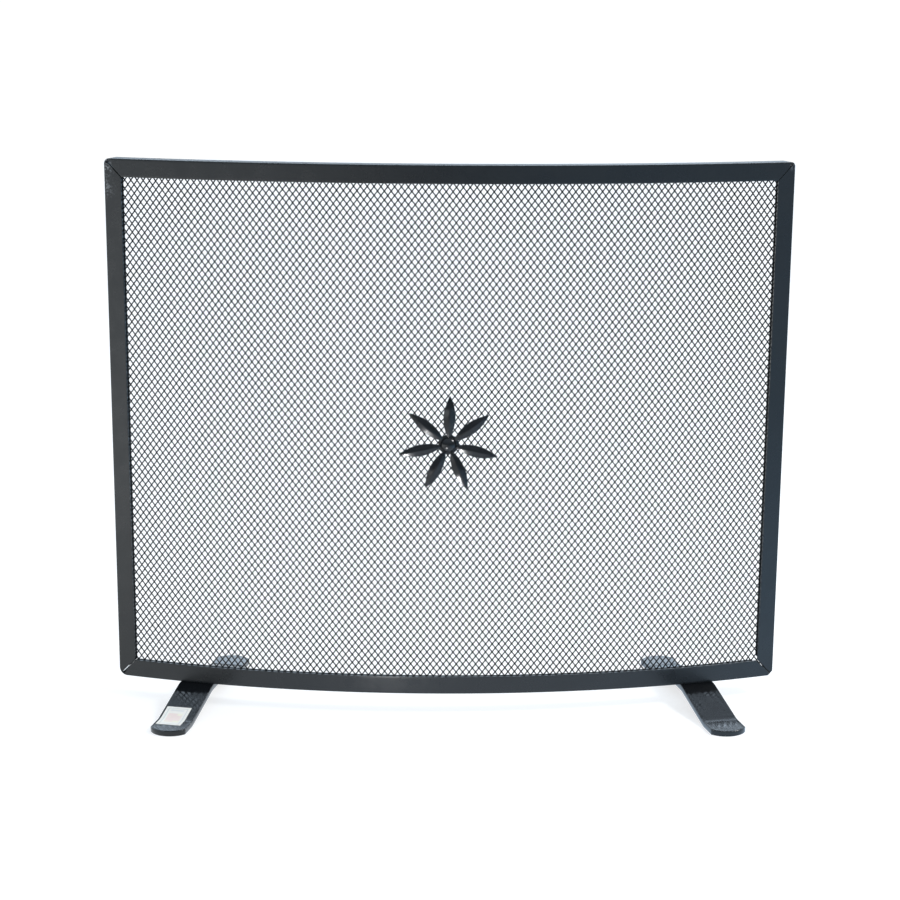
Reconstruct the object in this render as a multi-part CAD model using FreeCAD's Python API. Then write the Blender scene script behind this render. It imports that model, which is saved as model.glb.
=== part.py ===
import FreeCAD, Part
import math
import os

from FreeCAD import Vector

# Free-standing bowed fireplace screen: a one-panel frame of mitred steel angle, spark-guard wire
# mesh clamped behind its face, a seven-petal flower bolted to the mesh, and two flat bar feet.
# Millimetres. +X is the right-hand side seen from the room, +Y goes towards the fire, +Z is up.
# The origin is on the floor, midway between the front and back tips of the feet.
# "Depth" is measured backwards from the front face of the frame, square to the bowed face.

# Overall sizes
screen_width = 965.0
frame_height = 756.5
bow_depth = 82.0
ground_gap = 29.0

# Frame of rolled steel angle, with the face leg in front and the other leg round the outside
leg_width = 25.4
leg_thickness = 3.2
edge_radius = 0.5
root_radius = 2.0
mitre_gap = 0.5
corner_radius = 6.0
weld_radius = 4.0
weld_length = 15.0

# Mesh panel and the flat strips that clamp it to the back of the face leg, inner edges flush
mesh_thickness = 3.2
mesh_side_gap = 1.5
strip_width = 12.7
strip_thickness = 2.5

# Strip screws, driven from behind into blind holes in the face leg
screw_diameter = 3.5
screw_hole_diameter = 4.1
screw_bite = 2.0
screw_head_diameter = 7.0
screw_head_height = 2.0
rail_screw_angles = (-17.0, -8.5, 0.0, 8.5, 17.0)
stile_screw_count = 3

# Feet of flat bar, level under the rail and bent down to level toes with rounded ends
foot_width = 50.8
foot_thickness = 8.0
foot_reach_front = 156.0
foot_reach_back = 176.0
foot_place_angle = 14.5
foot_turn = 12.5
foot_end_radius = 31.0
foot_edge_radius = 1.0
foot_middle_flat = 18.0
foot_bend_radius = 25.0
toe_drop = ground_gap - foot_thickness
toe_flat = 45.0

# Foot bolts: countersunk under the foot, with nuts inside the bottom rail
bolt_diameter = 6.0
bolt_hole_diameter = 6.4
bolt_spacing = 28.0
countersink_diameter = 12.0
countersink_depth = 3.2
nut_across_flats = 10.0
nut_height = 5.0
bolt_end_past_nut = 1.0
bolt_depth = 15.2

# Blank paper label on top of the left foot
label_width = 36.0
label_side_shift = -3.8
label_start = 80.0
label_end = 132.0
label_thickness = 0.3

# Flower
flower_height = 396.6
petal_count = 7
petal_turn = 1.6
petal_leans = (0.0, -0.9, -0.5, 1.8, -0.3, -0.3, 0.0)
petal_start_radius = 11.4
petal_wide_radius = 41.0
petal_tip_radius = 69.6
petal_root_half_width = 1.8
petal_half_width = 8.3
petal_sheet = 1.2
petal_fold_drop = 2.4
petal_arch_rise = 3.4
hub_diameter = 28.0
hub_thickness = 1.5
dome_diameter = 22.6
dome_height = 7.5
flower_bolt_diameter = 6.0
flower_bolt_length = 16.0
washer_diameter = 26.0
washer_thickness = 1.6

# Worked-out sizes
half_width = screen_width / 2
face_radius = (half_width ** 2 + bow_depth ** 2) / (2 * bow_depth)
end_angle = math.degrees(math.asin(half_width / face_radius))
rail_middle_depth = leg_width / 2
foot_length = foot_reach_front + foot_reach_back
foot_centre_ahead = (foot_reach_front - foot_reach_back) / 2
arc_centre_y = (
    (face_radius - rail_middle_depth) * math.cos(math.radians(foot_place_angle))
    + foot_centre_ahead * math.cos(math.radians(foot_turn))
)
frame_bottom = ground_gap
frame_top = ground_gap + frame_height
mesh_depth = leg_thickness
strip_depth = mesh_depth + mesh_thickness
screw_head_depth = strip_depth + strip_thickness
mesh_margin = leg_thickness + mesh_side_gap
strip_margin = leg_width - strip_width
screw_margin = strip_margin + strip_width / 2

up = Vector(0, 0, 1)
down = Vector(0, 0, -1)
arc_centre = Vector(0, arc_centre_y, 0)


def arc_angle(length):
    """The angle, in degrees, that a length along the bowed face takes up."""
    return math.degrees(length / face_radius)


def right_at(angle):
    """Along the bowed face, to the right."""
    turn = math.radians(angle)
    return Vector(math.cos(turn), math.sin(turn), 0)


def back_at(angle):
    """Square to the bowed face, towards the fire."""
    turn = math.radians(angle)
    return Vector(-math.sin(turn), math.cos(turn), 0)


def place(depth, angle, height):
    """A point by its depth behind the face, its angle from the middle and its height."""
    return arc_centre - back_at(angle) * (face_radius - depth) + up * height


def rounded_wire(points, radii):
    """A closed outline through the points, with each corner rounded to its radius."""
    edges = []
    count = len(points)
    starts = []
    ends = []
    for i in range(count):
        corner = points[i]
        towards_last = (points[i - 1] - corner).normalize()
        towards_next = (points[(i + 1) % count] - corner).normalize()
        if radii[i] == 0:
            starts.append(corner)
            ends.append(corner)
            continue
        half_turn = towards_last.getAngle(towards_next) / 2
        reach = radii[i] / math.tan(half_turn)
        bisector = (towards_last + towards_next).normalize()
        centre = corner + bisector * (radii[i] / math.sin(half_turn))
        starts.append(corner + towards_last * reach)
        ends.append(corner + towards_next * reach)
        edges.append(Part.Arc(starts[-1], centre - bisector * radii[i], ends[-1]).toShape())
    for i in range(count):
        start = ends[i]
        end = starts[(i + 1) % count]
        edges.append(Part.LineSegment(start, end).toShape())
    return Part.Wire(Part.__sortEdges__(edges))


def block(corner, side_a, side_b, side_c):
    """A box with one corner and its three edge directions and lengths."""
    outline = [corner, corner + side_a, corner + side_a + side_b, corner + side_b, corner]
    return Part.Face(Part.makePolygon(outline)).extrude(side_c)


def pin(depth, angle, height, length, diameter):
    """A cylinder that starts at a depth and runs straight back."""
    return Part.makeCylinder(diameter / 2, length, place(depth, angle, height), back_at(angle))


def bowed_bar(section, radii, start_angle, stop_angle):
    """Sweep a section, given as (depth, height) points, round the bow of the screen."""
    points = [place(depth, start_angle, height) for depth, height in section]
    face = Part.Face(rounded_wire(points, radii))
    return face.revolve(arc_centre, up, stop_angle - start_angle)


# The angle section as (distance from the outer side, depth), and the radius at each corner.
angle_section = (
    (0.0, 0.0),
    (leg_width, 0.0),
    (leg_width, leg_thickness),
    (leg_thickness, leg_thickness),
    (leg_thickness, leg_width),
    (0.0, leg_width),
)
angle_radii = (edge_radius, edge_radius, edge_radius, root_radius, edge_radius, edge_radius)


def corner_frame(side, level):
    """The outer corner of the frame, and its directions inward along the rail, inward along
    the stile and back. side is -1 left or 1 right; level is -1 bottom or 1 top."""
    height = frame_top if level > 0 else frame_bottom
    angle = side * end_angle
    return place(0, angle, height), right_at(angle) * -side, up * -level, back_at(angle)


def mitre_cut(side, level, for_rail):
    """The block that trims a rail or a stile to the 45 degree mitre at one corner."""
    corner, along_rail, along_stile, back = corner_frame(side, level)
    seam = (along_rail + along_stile).normalize()
    to_stile = (along_stile - along_rail).normalize()
    away = to_stile if for_rail else to_stile * -1
    reach = 2 * leg_width
    start = corner - seam * reach - away * (mitre_gap / 2) - back * leg_width
    return block(start, seam * (2 * reach), away * reach, back * (3 * leg_width))


def corner_rounding(side, level):
    """What is ground away to round one outer corner of the frame."""
    corner, along_rail, along_stile, back = corner_frame(side, level)
    outside = corner - (along_rail + along_stile) * corner_radius - back * leg_width
    edge = 2 * corner_radius
    square = block(outside, along_rail * edge, along_stile * edge, back * (3 * leg_width))
    centre = corner + (along_rail + along_stile) * corner_radius - back * leg_width
    keep = Part.makeCylinder(corner_radius, 3 * leg_width, centre, back)
    return square.cut(keep)


def stile_screw_heights():
    """Evenly spaced heights between the rails."""
    step = frame_height / (stile_screw_count + 1)
    return [frame_bottom + step * (i + 1) for i in range(stile_screw_count)]


def rail_screw_places(level):
    height = frame_top - screw_margin if level > 0 else frame_bottom + screw_margin
    return [(angle, height) for angle in rail_screw_angles]


def stile_screw_places(side):
    angle = side * (end_angle - arc_angle(screw_margin))
    return [(angle, height) for height in stile_screw_heights()]


def drill(shape, places, depth, length, diameter):
    for angle, height in places:
        shape = shape.cut(pin(depth, angle, height, length, diameter))
    return shape


def rail(level):
    """The top or bottom rail: angle rolled to the bow, with its legs turned outward."""
    outer = frame_top if level > 0 else frame_bottom
    section = [(depth, outer - level * across) for across, depth in angle_section]
    shape = bowed_bar(section, angle_radii, -end_angle, end_angle)
    for side in (-1, 1):
        shape = shape.cut(mitre_cut(side, level, True))
        shape = shape.cut(corner_rounding(side, level))
    blind_start = leg_thickness - screw_bite
    return drill(shape, rail_screw_places(level), blind_start, screw_bite + 1, screw_diameter)


def stile(side):
    """A straight upright of the same angle, standing square to the ends of the bow."""
    corner, along_rail, along_stile, back = corner_frame(side, -1)
    points = [corner + along_rail * across + back * depth for across, depth in angle_section]
    shape = Part.Face(rounded_wire(points, angle_radii)).extrude(up * frame_height)
    for level in (-1, 1):
        shape = shape.cut(mitre_cut(side, level, False))
        shape = shape.cut(corner_rounding(side, level))
    blind_start = leg_thickness - screw_bite
    return drill(shape, stile_screw_places(side), blind_start, screw_bite + 1, screw_diameter)


def corner_welds():
    """A weld bead inside each corner, where the two outer legs meet."""
    beads = []
    for side in (-1, 1):
        for level in (-1, 1):
            corner, along_rail, along_stile, back = corner_frame(side, level)
            root = corner + (along_rail + along_stile) * leg_thickness
            root = root + back * (leg_width - weld_length - 1)
            to_rail = root + along_rail * weld_radius
            to_stile = root + along_stile * weld_radius
            bulge = root + (along_rail + along_stile).normalize() * (weld_radius * 0.8)
            outline = [
                Part.LineSegment(root, to_rail).toShape(),
                Part.Arc(to_rail, bulge, to_stile).toShape(),
                Part.LineSegment(to_stile, root).toShape(),
            ]
            beads.append(Part.Face(Part.Wire(outline)).extrude(back * weld_length))
    return Part.makeCompound(beads)


def rail_strip(level):
    """A curved flat strip behind a rail, flush with its inner edge and mitred like it."""
    outer = frame_top if level > 0 else frame_bottom
    low = outer - level * strip_margin
    high = low - level * strip_width
    back = strip_depth + strip_thickness
    section = [(strip_depth, low), (back, low), (back, high), (strip_depth, high)]
    shape = bowed_bar(section, (0, 0, 0, 0), -end_angle, end_angle)
    for side in (-1, 1):
        shape = shape.cut(mitre_cut(side, level, True))
    places = rail_screw_places(level)
    return drill(shape, places, strip_depth - 1, strip_thickness + 2, screw_hole_diameter)


def stile_strip(side):
    """A straight flat strip behind a stile, flush with its inner edge and mitred like it."""
    corner, along_rail, along_stile, back = corner_frame(side, -1)
    start = corner + along_rail * strip_margin + back * strip_depth
    shape = block(start, along_rail * strip_width, back * strip_thickness, up * frame_height)
    for level in (-1, 1):
        shape = shape.cut(mitre_cut(side, level, False))
    places = stile_screw_places(side)
    return drill(shape, places, strip_depth - 1, strip_thickness + 2, screw_hole_diameter)


def all_screw_places():
    places = []
    for sign in (-1, 1):
        places += rail_screw_places(sign)
        places += stile_screw_places(sign)
    return places


def strip_screws():
    """Pan-head screws through the strips and the mesh into the face leg."""
    screws = []
    for angle, height in all_screw_places():
        tip_depth = leg_thickness - screw_bite + 0.2
        shank = pin(tip_depth, angle, height, screw_head_depth - tip_depth + 0.5, screw_diameter - 0.1)
        head = pin(screw_head_depth, angle, height, screw_head_height, screw_head_diameter)
        rim = max(head.Edges, key=lambda edge: (edge.CenterOfMass - arc_centre).Length * -1)
        head = head.makeFillet(0.9, [rim])
        slot_start = place(screw_head_depth + screw_head_height - 0.8, angle, height)
        slot_start = slot_start - right_at(angle) * screw_head_diameter - up * 0.5
        slot = block(
            slot_start,
            right_at(angle) * (2 * screw_head_diameter),
            up * 1.0,
            back_at(angle) * 2,
        )
        screws.append(shank.fuse(head).removeSplitter().cut(slot))
    return Part.makeCompound(screws)


def mesh_panel():
    """The spark-guard mesh, as the thin bowed sheet that its woven wires fill."""
    low = frame_bottom + mesh_margin
    high = frame_top - mesh_margin
    back = mesh_depth + mesh_thickness
    section = [(mesh_depth, low), (back, low), (back, high), (mesh_depth, high)]
    reach = end_angle - arc_angle(mesh_margin)
    shape = bowed_bar(section, (0, 0, 0, 0), -reach, reach)
    places = all_screw_places()
    shape = drill(shape, places, mesh_depth - 1, mesh_thickness + 2, screw_hole_diameter)
    hole = flower_bolt_diameter + 0.4
    return drill(shape, [(0.0, flower_height)], mesh_depth - 1, mesh_thickness + 2, hole)


def foot_underside():
    """The bends of a foot's underside as (distance ahead of the rail, height), back to front."""
    return (
        (-foot_reach_back, 0.0),
        (toe_flat - foot_reach_back, 0.0),
        (-foot_middle_flat, toe_drop),
        (foot_middle_flat, toe_drop),
        (foot_reach_front - toe_flat, 0.0),
        (foot_reach_front, 0.0),
    )


def foot_profile(low, high):
    """A foot seen from the side, between two heights above its underside."""
    points = [Vector(ahead, 0, low + height) for ahead, height in foot_underside()]
    points += [Vector(ahead, 0, high + height) for ahead, height in reversed(foot_underside())]
    bends = [0.0] + 4 * [foot_bend_radius] + [0.0]
    return Part.Face(rounded_wire(points, bends + bends))


def foot_plan():
    """The outline of a foot from above: straight sides and rounded ends."""
    half = foot_width / 2
    corner_back = foot_end_radius - math.sqrt(foot_end_radius ** 2 - half ** 2)
    front = foot_reach_front
    back = -foot_reach_back
    corners = [
        Vector(back + corner_back, -half, 0),
        Vector(front - corner_back, -half, 0),
        Vector(front - corner_back, half, 0),
        Vector(back + corner_back, half, 0),
    ]
    edges = [
        Part.LineSegment(corners[0], corners[1]).toShape(),
        Part.Arc(corners[1], Vector(front, 0, 0), corners[2]).toShape(),
        Part.LineSegment(corners[2], corners[3]).toShape(),
        Part.Arc(corners[3], Vector(back, 0, 0), corners[0]).toShape(),
    ]
    return Part.Face(Part.Wire(edges))


def foot_bolt_places():
    """Where the two bolts of a foot stand, measured from where it crosses the rail."""
    back = rail_middle_depth - bolt_depth
    return [Vector(back, side * bolt_spacing / 2, 0) for side in (-1, 1)]


def to_foot(shape, side):
    """Carry a shape from the foot's own axes, with +X to its front toe, to its place."""
    shape = shape.copy()
    shape.rotate(Vector(0, 0, 0), up, side * foot_turn - 90)
    crossing = place(rail_middle_depth, side * foot_place_angle, 0)
    shape.translate(crossing)
    return shape


def underside_height(ahead):
    """How high a foot's underside is at a distance ahead of the rail."""
    line = foot_underside()
    for start, end in zip(line, line[1:]):
        if ahead <= end[0]:
            share = (ahead - start[0]) / (end[0] - start[0])
            return start[1] + share * (end[1] - start[1])
    return 0.0


def is_top_rim(edge):
    """True for the edges round the top of a foot, and not for its bolt holes or bend lines."""
    middle = edge.CenterOfMass
    is_on_top = middle.z - underside_height(middle.x) > 0.75 * foot_thickness
    at_side = abs(middle.y) > foot_width / 2 - 0.01
    at_end = min(edge.BoundBox.XLength, edge.BoundBox.YLength) > bolt_hole_diameter + 0.01
    return is_on_top and (at_side or at_end)


def foot(side):
    """One bent flat bar foot with countersunk bolt holes and a softened rim."""
    profile = foot_profile(0, foot_thickness)
    profile.translate(Vector(0, -foot_width, 0))
    bar = profile.extrude(Vector(0, 2 * foot_width, 0))
    cutter = foot_plan().extrude(up * (2 * ground_gap))
    cutter.translate(down * 1)
    bar = bar.common(cutter)
    for centre in foot_bolt_places():
        bar = bar.cut(Part.makeCylinder(bolt_hole_diameter / 2, 2 * ground_gap, centre, up))
        cone = Part.makeCone(
            countersink_diameter / 2,
            bolt_hole_diameter / 2,
            countersink_depth,
            centre + up * toe_drop,
            up,
        )
        bar = bar.cut(cone)
    rim = [edge for edge in bar.Edges if is_top_rim(edge)]
    return to_foot(bar.makeFillet(foot_edge_radius, rim), side)


def foot_bolts():
    """Countersunk bolts, flush under the feet and up through the bottom rail."""
    bolts = []
    length = foot_thickness + leg_thickness + nut_height + bolt_end_past_nut
    slack = bolt_hole_diameter - bolt_diameter
    for side in (-1, 1):
        for centre in foot_bolt_places():
            base = centre + up * toe_drop
            head = Part.makeCone(
                (countersink_diameter - slack) / 2,
                bolt_diameter / 2,
                countersink_depth,
                base,
                up,
            )
            shank = Part.makeCylinder(bolt_diameter / 2, length, base, up)
            bolts.append(to_foot(head.fuse(shank).removeSplitter(), side))
    return Part.makeCompound(bolts)


def hexagon_nut(base, direction, across, height, hole):
    """A hexagon nut standing on its base point."""
    corner = across / 2 / math.cos(math.radians(30))
    points = []
    for i in range(7):
        turn = math.radians(60 * i)
        points.append(Vector(corner * math.cos(turn), corner * math.sin(turn), 0))
    body = Part.Face(Part.makePolygon(points)).extrude(up * height)
    body = body.cut(Part.makeCylinder(hole / 2, height, Vector(0, 0, 0), up))
    body.Placement = FreeCAD.Placement(base, FreeCAD.Rotation(up, direction))
    return body


def foot_nuts():
    nuts = []
    for side in (-1, 1):
        for centre in foot_bolt_places():
            base = centre + up * (frame_bottom + leg_thickness)
            nut = hexagon_nut(base, up, nut_across_flats, nut_height, bolt_hole_diameter - 0.3)
            nuts.append(to_foot(nut, side))
    return Part.makeCompound(nuts)


def drill_for_feet(shape):
    """Clear the foot bolts' holes through the bottom rail."""
    for side in (-1, 1):
        for centre in foot_bolt_places():
            hole = Part.makeCylinder(bolt_hole_diameter / 2, 2 * ground_gap, centre, up)
            shape = shape.cut(to_foot(hole, side))
    return shape


def foot_label():
    """A blank paper label that follows the top of the left foot down towards the toe."""
    profile = foot_profile(foot_thickness, foot_thickness + label_thickness)
    profile.translate(Vector(0, label_side_shift - label_width / 2, 0))
    strip = profile.extrude(Vector(0, label_width, 0))
    start = Vector(label_start, -foot_width, 0)
    length = Vector(label_end - label_start, 0, 0)
    window = block(start, length, Vector(0, 2 * foot_width, 0), up * (2 * ground_gap))
    return to_foot(strip.common(window), -1)


def on_flower(shape):
    """Carry a shape made round the Z axis to the flower's centre, with +Z to the room."""
    shape = shape.copy()
    centre = place(mesh_depth, 0, flower_height)
    shape.rotate(Vector(0, 0, 0), Vector(1, 0, 0), 90)
    shape.translate(centre)
    return shape


def petal_outline():
    """A pointed leaf seen from the front, with its root at the dome."""
    root_left = Vector(-petal_root_half_width, petal_start_radius, 0)
    root_right = Vector(petal_root_half_width, petal_start_radius, 0)
    wide_left = Vector(-petal_half_width, petal_wide_radius, 0)
    wide_right = Vector(petal_half_width, petal_wide_radius, 0)
    tip = Vector(0, petal_tip_radius, 0)
    edges = [
        Part.LineSegment(root_left, root_right).toShape(),
        Part.Arc(root_right, wide_right, tip).toShape(),
        Part.Arc(tip, wide_left, root_left).toShape(),
    ]
    return Part.Face(Part.Wire(edges))


def folded_sheet():
    """A sheet with a fold along the middle, arched from the petal's root to its tip."""
    half_length = (petal_tip_radius - petal_start_radius) / 2
    middle = petal_start_radius + half_length
    arch = (half_length ** 2 + petal_arch_rise ** 2) / (2 * petal_arch_rise)
    fold = arch + petal_fold_drop * petal_root_half_width / petal_half_width
    reach = petal_half_width * 1.2
    edge = fold - petal_fold_drop * 1.2
    section = [
        Vector(0, middle, fold),
        Vector(reach, middle, edge),
        Vector(reach, middle, edge + petal_sheet),
        Vector(0, middle, fold + petal_sheet),
        Vector(-reach, middle, edge + petal_sheet),
        Vector(-reach, middle, edge),
    ]
    face = Part.Face(Part.makePolygon(section + [section[0]]))
    swing = math.degrees(math.asin(half_length / arch)) + 2
    face.rotate(Vector(0, middle, 0), Vector(1, 0, 0), -swing)
    sheet = face.revolve(Vector(0, middle, 0), Vector(1, 0, 0), 2 * swing)
    sheet.translate(up * (hub_thickness + petal_arch_rise - arch))
    return sheet


def petal(index):
    """A pointed leaf of folded and arched sheet."""
    blank = petal_outline().extrude(up * petal_tip_radius)
    leaf = folded_sheet().common(blank)
    turn = petal_turn + petal_leans[index] + index * 360 / petal_count
    leaf.rotate(Vector(0, 0, 0), up, -turn)
    return on_flower(leaf)


def flower_hub():
    """The disc that the petals are fixed to, against the front of the mesh."""
    disc = Part.makeCylinder(hub_diameter / 2, hub_thickness)
    disc = disc.cut(Part.makeCylinder(flower_bolt_diameter / 2 + 0.2, hub_thickness))
    return on_flower(disc)


def flower_bolt():
    """A domed bolt that covers the petals' roots and goes back through the mesh."""
    base_z = hub_thickness
    radius = (dome_diameter ** 2 / 4 + dome_height ** 2) / (2 * dome_height)
    ball = Part.makeSphere(radius, Vector(0, 0, base_z + dome_height - radius))
    keep = Part.makeCylinder(dome_diameter, dome_height, Vector(0, 0, base_z))
    dome = ball.common(keep)
    shank = Part.makeCylinder(
        flower_bolt_diameter / 2, flower_bolt_length, Vector(0, 0, base_z + 1 - flower_bolt_length)
    )
    return on_flower(dome.fuse(shank).removeSplitter())


def flower_washer():
    disc = Part.makeCylinder(washer_diameter / 2, washer_thickness)
    disc = disc.cut(Part.makeCylinder(flower_bolt_diameter / 2 + 0.2, washer_thickness))
    disc.translate(down * (mesh_thickness + washer_thickness))
    return on_flower(disc)


def flower_nut():
    base = place(mesh_depth + mesh_thickness + washer_thickness, 0, flower_height)
    hole = flower_bolt_diameter + 0.1
    return hexagon_nut(base, back_at(0), nut_across_flats, nut_height, hole)


parts = {
    "top_rail": rail(1),
    "bottom_rail": drill_for_feet(rail(-1)),
    "left_stile": stile(-1),
    "right_stile": stile(1),
    "corner_welds": corner_welds(),
    "mesh_panel": mesh_panel(),
    "top_mesh_strip": rail_strip(1),
    "bottom_mesh_strip": rail_strip(-1),
    "left_mesh_strip": stile_strip(-1),
    "right_mesh_strip": stile_strip(1),
    "mesh_strip_screws": strip_screws(),
    "left_foot": foot(-1),
    "right_foot": foot(1),
    "foot_bolts": foot_bolts(),
    "foot_nuts": foot_nuts(),
    "foot_label": foot_label(),
    "flower_hub": flower_hub(),
    "flower_bolt": flower_bolt(),
    "flower_washer": flower_washer(),
    "flower_nut": flower_nut(),
}
for petal_index in range(petal_count):
    parts["petal_%d" % (petal_index + 1)] = petal(petal_index)

os.makedirs("parts", exist_ok=True)
for name, shape in parts.items():
    shape.exportStep("parts/" + name + ".step")
    print(name, "solids", len(shape.Solids), "valid", shape.isValid(), "volume", round(shape.Volume, 1))
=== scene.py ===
import math

import bpy
import numpy as np
from mathutils import Matrix, Vector


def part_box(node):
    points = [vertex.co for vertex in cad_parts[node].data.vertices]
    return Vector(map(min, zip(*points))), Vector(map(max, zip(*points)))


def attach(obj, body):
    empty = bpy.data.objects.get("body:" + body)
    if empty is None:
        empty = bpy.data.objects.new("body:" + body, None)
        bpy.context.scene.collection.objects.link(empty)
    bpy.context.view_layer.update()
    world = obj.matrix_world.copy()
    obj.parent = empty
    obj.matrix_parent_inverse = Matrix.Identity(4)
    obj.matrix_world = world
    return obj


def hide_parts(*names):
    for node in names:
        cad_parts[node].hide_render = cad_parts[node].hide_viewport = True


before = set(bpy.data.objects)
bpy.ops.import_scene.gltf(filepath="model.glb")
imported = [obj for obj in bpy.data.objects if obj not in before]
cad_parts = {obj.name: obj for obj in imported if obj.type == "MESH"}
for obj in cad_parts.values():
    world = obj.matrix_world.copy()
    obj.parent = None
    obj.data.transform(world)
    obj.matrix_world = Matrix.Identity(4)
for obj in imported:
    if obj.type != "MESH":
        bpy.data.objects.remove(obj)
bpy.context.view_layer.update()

rng = np.random.default_rng(7)

# ---------------------------------------------------------------- the screen's own geometry, in metres
MM = 0.001
HALF_WIDTH = 482.5 * MM
BOW = 82.0 * MM
FACE_RADIUS = (HALF_WIDTH ** 2 + BOW ** 2) / (2 * BOW)   # of the front face, about the axis of the bow
END_ANGLE = math.asin(HALF_WIDTH / FACE_RADIUS)
LEG = 25.4 * MM                        # width of each leg of the steel angle
WALL = 3.2 * MM                        # thickness of the angle
CENTRE_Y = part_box("top_rail")[0].y + FACE_RADIUS
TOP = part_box("top_rail")[1].z
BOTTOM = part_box("bottom_rail")[0].z


def place(depth, angle, z):
    """Points by depth behind the front face, angle round the bow and height. Works on arrays."""
    r = FACE_RADIUS - depth
    x = r * np.sin(angle)
    y = CENTRE_Y - r * np.cos(angle)
    return np.stack(np.broadcast_arrays(x, y, z), axis=-1)


def smooth(x, low, high):
    t = np.clip((x - low) / (high - low), 0.0, 1.0)
    return t * t * (3 - 2 * t)


# ---------------------------------------------------------------- mesh helpers
def make_mesh(name, points, quads, polygons=None, smooth_faces=True):
    """One mesh object from points, quads and a few larger polygons."""
    points = np.asarray(points, np.float32).reshape(-1, 3)
    quads = np.asarray(quads, np.int32).reshape(-1, 4)
    polygons = polygons or []
    loops = np.concatenate([quads.ravel(), np.array(sum(polygons, []), np.int32)])
    counts = np.array([4] * len(quads) + [len(polygon) for polygon in polygons], np.int32)
    starts = np.concatenate([[0], np.cumsum(counts)[:-1]]).astype(np.int32)
    mesh = bpy.data.meshes.new(name)
    mesh.vertices.add(len(points))
    mesh.vertices.foreach_set("co", points.ravel())
    mesh.loops.add(len(loops))
    mesh.loops.foreach_set("vertex_index", loops.astype(np.int32))
    mesh.polygons.add(len(counts))
    mesh.polygons.foreach_set("loop_start", starts)
    mesh.polygons.foreach_set("use_smooth", np.full(len(counts), smooth_faces))
    mesh.update(calc_edges=True)
    mesh.validate()
    obj = bpy.data.objects.new(name, mesh)
    bpy.context.scene.collection.objects.link(obj)
    return obj


def grid_quads(rows, columns, wrap_columns=False):
    """Quads over a grid of rows x columns points, closed round its columns if asked."""
    column_count = columns if wrap_columns else columns - 1
    row, column = np.meshgrid(np.arange(rows - 1), np.arange(column_count), indexing="ij")
    here, above = row * columns, (row + 1) * columns
    following = (column + 1) % columns
    return np.stack([here + column, here + following, above + following, above + column], -1).reshape(-1, 4)


def add_value(obj, name, values):
    """A number per vertex that the materials read."""
    layer = obj.data.attributes.new(name, "FLOAT", "POINT")
    layer.data.foreach_set("value", np.asarray(values, np.float32).ravel())


def sharpen(obj, degrees=40):
    """Smooth shading with sharp edges kept where faces meet at more than this angle."""
    obj.data.set_sharp_from_angle(angle=math.radians(degrees))


def finish_piece(obj, material, slot, *replaced):
    obj.data.materials.clear()
    obj.data.materials.append(material)
    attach(obj, "root")
    if replaced:
        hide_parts(*replaced)
    return obj


# ---------------------------------------------------------------- material helpers
class Nodes:
    """A short way to add nodes to a node tree."""

    def __init__(self, tree):
        self.nodes = tree.nodes
        self.links = tree.links

    def link(self, source, socket):
        self.links.new(source, socket)

    def set(self, socket, value):
        if isinstance(value, bpy.types.NodeSocket):
            self.link(value, socket)
        elif isinstance(value, tuple):
            socket.default_value = (*value, 1.0)
        else:
            socket.default_value = value

    def math(self, kind, a, b, clamp=False):
        node = self.nodes.new("ShaderNodeMath")
        node.operation = kind
        node.use_clamp = clamp
        self.set(node.inputs[0], a)
        self.set(node.inputs[1], b)
        return node.outputs[0]

    def ramp(self, value, low, high, from_=0.0, to=1.0):
        node = self.nodes.new("ShaderNodeMapRange")
        node.interpolation_type = "SMOOTHSTEP"
        self.link(value, node.inputs["Value"])
        node.inputs["From Min"].default_value = low
        node.inputs["From Max"].default_value = high
        node.inputs["To Min"].default_value = from_
        node.inputs["To Max"].default_value = to
        return node.outputs[0]

    def split(self, vector):
        node = self.nodes.new("ShaderNodeSeparateXYZ")
        self.link(vector, node.inputs[0])
        return node.outputs

    def by_ray(self, for_camera, for_others):
        """One shader where the camera looks straight at it, and another for light and reflections."""
        ray = self.nodes.new("ShaderNodeLightPath")
        mix = self.nodes.new("ShaderNodeMixShader")
        self.link(ray.outputs["Is Camera Ray"], mix.inputs[0])
        self.link(for_others.outputs[0], mix.inputs[1])
        self.link(for_camera.outputs[0], mix.inputs[2])
        return mix.outputs[0]


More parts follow.
